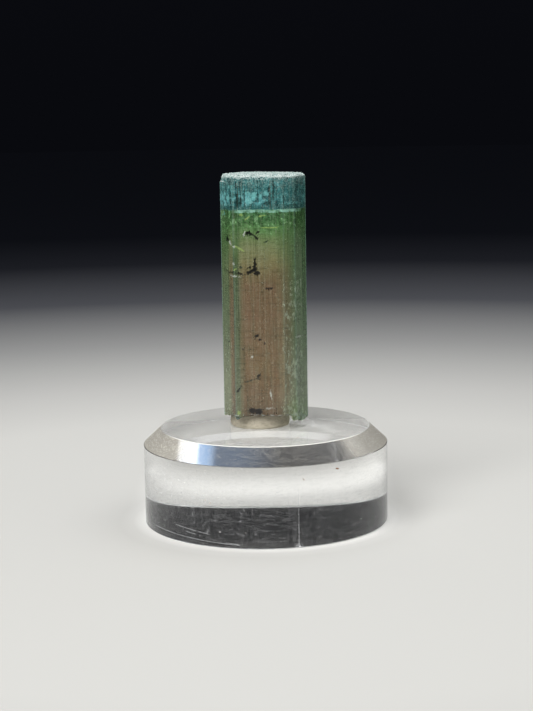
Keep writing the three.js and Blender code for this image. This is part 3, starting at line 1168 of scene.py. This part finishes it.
def scattered(name, source, tree, values):
    """The plain mesh of the grains that the tree scatters over the source."""
    holder = new_object(name + "_source", source.data.copy())
    modifier = holder.modifiers.new("grains", "NODES")
    modifier.node_group = tree
    for item in tree.interface.items_tree:
        if item.in_out == "INPUT" and item.name in values:
            modifier[item.identifier] = values[item.name]
    evaluated = holder.evaluated_get(bpy.context.evaluated_depsgraph_get())
    mesh = bpy.data.meshes.new_from_object(evaluated)
    mesh.name = name
    bpy.data.objects.remove(holder)
    if not mesh.polygons:
        raise RuntimeError("No grains were made for " + name)
    return mesh


# Middle, then half width, half height and half thickness, in millimetres, and turn in degrees
BROWN_SPECKS = (
    ((8.79, -13.22, 9.38), 0.24, 0.09, 0.05, -4),
    ((8.66, -13.30, 9.44), 0.12, 0.06, 0.05, 20),
    ((4.05, -8.47, 12.33), 0.14, 0.10, 0.04, 0),
    ((4.52, -15.22, 8.62), 0.03, 0.20, 0.02, 20),
    ((4.66, -15.18, 8.50), 0.10, 0.03, 0.02, 10),
    ((-6.90, -14.30, 5.58), 0.10, 0.05, 0.02, 30),
    ((-7.52, -13.98, 5.88), 0.08, 0.05, 0.02, 0),
)
LINT = (
    ((7.92, -13.72, 10.12), 0.035, 0.30, 0.03, 14),
    ((8.10, -13.66, 10.02), 0.12, 0.04, 0.03, 35),
    ((-5.74, -14.80, 2.03), 0.07, 0.06, 0.03, 0),
)


def speck_mesh(specks):
    """Flattened lumps that lie on the stand's wall or top."""
    built = bmesh.new()
    for (x, y, z), wide, tall, deep, turn in specks:
        on_top = z * MM >= STAND_HEIGHT - 0.001 * MM
        outward = Vector((0.0, 0.0, 1.0)) if on_top else Vector((x, y, 0.0)).normalized()
        upward = Vector((0.0, 1.0, 0.0)) if on_top else Vector((0.0, 0.0, 1.0))
        side = upward.cross(outward)
        axes = Matrix((side, upward, outward)).transposed().to_4x4()
        turned = axes @ Matrix.Rotation(math.radians(turn), 4, "Z")
        size = Matrix.Diagonal((wide * MM, tall * MM, deep * MM, 1.0))
        place = Matrix.Translation(Vector((x, y, z)) * MM)
        bmesh.ops.create_icosphere(built, subdivisions=2, radius=1.0, matrix=place @ turned @ size)
    mesh = bpy.data.meshes.new("specks")
    built.to_mesh(mesh)
    built.free()
    mesh.shade_smooth()
    return mesh


def mottled(name, light, dark, scale, roughness, transmission=0.0):
    """A plain grain material, paler and darker from place to place."""
    material, graph = new_material(name)
    place, *_ = graph.place()
    patch = graph.noise(place, scale, 3.0, 0.6)
    principled = {
        "Base Color": graph.mix(patch.step(0.38, 0.62), light, dark),
        "Roughness": roughness,
        "IOR": 1.5,
        "Transmission Weight": transmission,
        "Normal": graph.bump(patch, 0.4, 0.01 * MM),
    }
    finish_material(graph, graph.principled(principled))
    return material


class SPECIMEN_OT_studio(bpy.types.Operator):
    """Builds the pale floor, the dark backdrop, the soft lights and the camera"""

    bl_idname = "specimen.studio"
    bl_label = "Studio"

    def execute(self, context):
        settings = context.scene.specimen_studio
        add_floor(settings)
        add_softbox("softbox", *SOFTBOX, settings.softbox_power)
        add_softbox("fill", *FILL, settings.fill_power)
        add_room(context.scene, settings)
        add_camera(context.scene)
        context.scene.view_settings.view_transform = "Standard"
        return {"FINISHED"}


# Place, target and side of each square lamp, in metres
SOFTBOX = ((0.10, 0.03, 0.36), (0.08, 0.03, 0.0), 0.64)
FILL = ((-0.30, -0.52, 0.50), (0.0, 0.0, 0.03), 0.50)
FLOOR_SIDES = 96


def add_floor(settings):
    angles = [2 * math.pi * i / FLOOR_SIDES for i in range(FLOOR_SIDES)]
    radius = settings.floor_radius
    ring = [(radius * math.cos(a), radius * math.sin(a), -FLOOR_GAP) for a in angles]
    mesh = mesh_from("floor", ring, [range(FLOOR_SIDES)])
    mesh.materials.append(pale_floor())
    new_object("floor", mesh)


# Share of the way out to where the floor is dark, in metres, and its shade there: painted light makes
# it brightest under the stand, and painted shade darkens it outward
FLOOR_SHADES = (
    (0.0, "#fffefb"), (0.032, "#fffefb"), (0.040, "#c9c8c4"), (0.15, "#c8c7c3"),
    (0.22, "#bab9b6"), (0.35, "#90908f"), (0.52, "#4b4c50"), (0.75, "#1c1d21"), (1.0, "#07080b"),
)
FLOOR_REACH = 0.45


def pale_floor():
    """A pale matt floor, painted brighter under the stand, that falls away into painted shade behind
    the specimen.
    """
    material, graph = new_material("pale_floor")
    place, x, y, _ = graph.place()
    share = graph.vectors("LENGTH", {0: place}, output="Value") / FLOOR_REACH
    shade = graph.ramp(share, FLOOR_SHADES)
    # A strip right behind the stand, which is seen through it: painted light near the stand, and
    # painted shade farther back
    behind = abs(x).step(0.019, 0.012) * y.band(0.006, 0.060, 0.014)
    lit = graph.mix(y.step(0.022, 0.042), "#f6f5f1", "#a9a8a4")
    shade = graph.mix(behind, shade, lit)
    principled = {
        "Base Color": shade,
        "Roughness": 1.0,
        "Specular IOR Level": 0.0,
        # A faint painted glow in the colour of the dark horizon, so that the floor's far edge meets
        # the backdrop
        "Emission Color": colour(DARKNESS),
        "Emission Strength": 1.0,
    }
    finish_material(graph, graph.principled(principled))
    return material


def add_softbox(name, place, target, side, power):
    light = bpy.data.lights.new(name, "AREA")
    light.shape = "SQUARE"
    light.size = side
    light.energy = power
    lamp = new_object(name, light)
    lamp.location = place
    aim = Vector(target) - Vector(place)
    lamp.rotation_euler = aim.to_track_quat("-Z", "Y").to_euler()


# Directions of the lit ceiling and of the blue window
CEILING = (0.35, 0.10, 0.93)
WINDOW = (0.37, 0.635, 0.678)


def add_room(scene, settings):
    """A dark room whose ceiling is lit towards the right, with a blue window behind."""
    world = bpy.data.worlds.new("dark_studio")
    world.use_nodes = True
    graph = Graph(world.node_tree)
    place = graph.node("ShaderNodeTexCoord", output="Generated")
    up = graph.node("ShaderNodeSeparateXYZ", {}, {0: place}, output=2)

    def towards(direction):
        return graph.vectors("DOT_PRODUCT", {0: place, 1: direction}, output="Value")

    window = towards(WINDOW)
    tone = graph.coats(
        DARKNESS,
        (up.step(0.0, 0.2), "#0c0d12"),
        (towards(CEILING).step(0.66, 0.82), (*settings.ceiling, 1.0)),
        (window.step(0.88, 0.985), (0.04, 0.08, 0.15, 1.0)),
        (window.step(0.988, 0.9985), (0.37, 0.56, 0.86, 1.0)),
    )
    shade = graph.node("ShaderNodeBackground", {}, {"Color": tone, "Strength": 1.0})
    out = graph.tree.nodes.new("ShaderNodeOutputWorld")
    graph.feed(out.inputs["Surface"], shade)
    scene.world = world


def add_camera(scene):
    camera = bpy.data.cameras.new("camera")
    camera.sensor_width = SENSOR_WIDTH
    camera.lens = FOCAL_PIXELS * SENSOR_WIDTH / max(PICTURE_WIDTH, PICTURE_HEIGHT)
    camera.clip_start = 0.01
    holder = new_object("camera", camera)
    right = Vector(CAMERA_RIGHT).normalized()
    up = Vector(CAMERA_UP).normalized()
    back = right.cross(up)
    turn = Matrix((right, back.cross(right), back)).transposed().to_4x4()
    holder.matrix_world = Matrix.Translation(CAMERA_PLACE) @ turn
    scene.camera = holder


class SPECIMEN_PT_panel(bpy.types.Panel):
    """Lists the specimen's builders"""

    bl_label = "Tourmaline on a Clear Stand"
    bl_idname = "SPECIMEN_PT_panel"
    bl_space_type = "VIEW_3D"
    bl_region_type = "UI"
    bl_category = "Tourmaline"

    def draw(self, context):
        for name, _, builder in BUILDERS:
            box = self.layout.box()
            group = getattr(context.scene, name)
            for field in group.bl_rna.properties:
                if field.identifier not in ("rna_type", "name"):
                    box.prop(group, field.identifier)
            box.operator(builder.bl_idname)


# Name of each group of settings on the scene, its class, and the operator that reads it
BUILDERS = (
    ("specimen_stand", StandSettings, SPECIMEN_OT_stand),
    ("specimen_tack", TackSettings, SPECIMEN_OT_tack),
    ("specimen_crystal", CrystalSettings, SPECIMEN_OT_crystal),
    ("specimen_grains", GrainSettings, SPECIMEN_OT_grains),
    ("specimen_studio", StudioSettings, SPECIMEN_OT_studio),
)
CLASSES = (*(item for row in BUILDERS for item in row[1:]), SPECIMEN_PT_panel)


def register():
    for item in CLASSES:
        bpy.utils.register_class(item)
    for name, group, _ in BUILDERS:
        setattr(bpy.types.Scene, name, bpy.props.PointerProperty(type=group))


def unregister():
    for name, *_ in BUILDERS:
        delattr(bpy.types.Scene, name)
    for item in reversed(CLASSES):
        bpy.utils.unregister_class(item)


def main():
    register()
    for _, _, builder in BUILDERS:
        area, name = builder.bl_idname.split(".")
        getattr(getattr(bpy.ops, area), name)()


if __name__ == "__main__":
    main()
